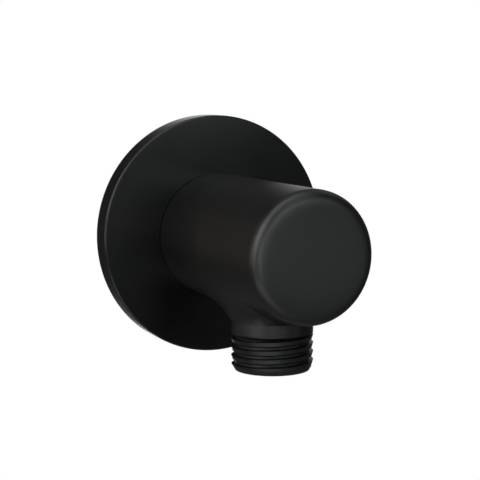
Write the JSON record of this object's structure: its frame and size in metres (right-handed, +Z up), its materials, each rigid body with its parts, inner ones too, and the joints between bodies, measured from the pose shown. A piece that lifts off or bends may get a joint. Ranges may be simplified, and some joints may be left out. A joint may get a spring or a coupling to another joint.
{
  "type": "wall outlet elbow",
  "caption": "Round matt black shower wall outlet elbow: a disc flange, a thick barrel out of the wall, and a threaded hose outlet pointing down.",
  "frame": {"origin": "centre of the flange's back face, on the barrel's axis, in the plane of the finished wall", "axes": "+Y into the wall along the inlet nipple, -Y out of the wall along the barrel, +Z up, hose outlet towards -Z, +X to the right of someone facing the wall"},
  "size_m": [0.065, 0.0784, 0.065],
  "materials": {
    "body_coat": "matt black coat on brass",
    "flange_coat": "matt black coat on brass",
    "gasket_rubber": "plain matt rubber"
  },
  "bodies": {
    "root": {"elbow_body": "body_coat", "wall_flange": "flange_coat", "flange_gasket": "gasket_rubber"}
  },
  "joints": []
}
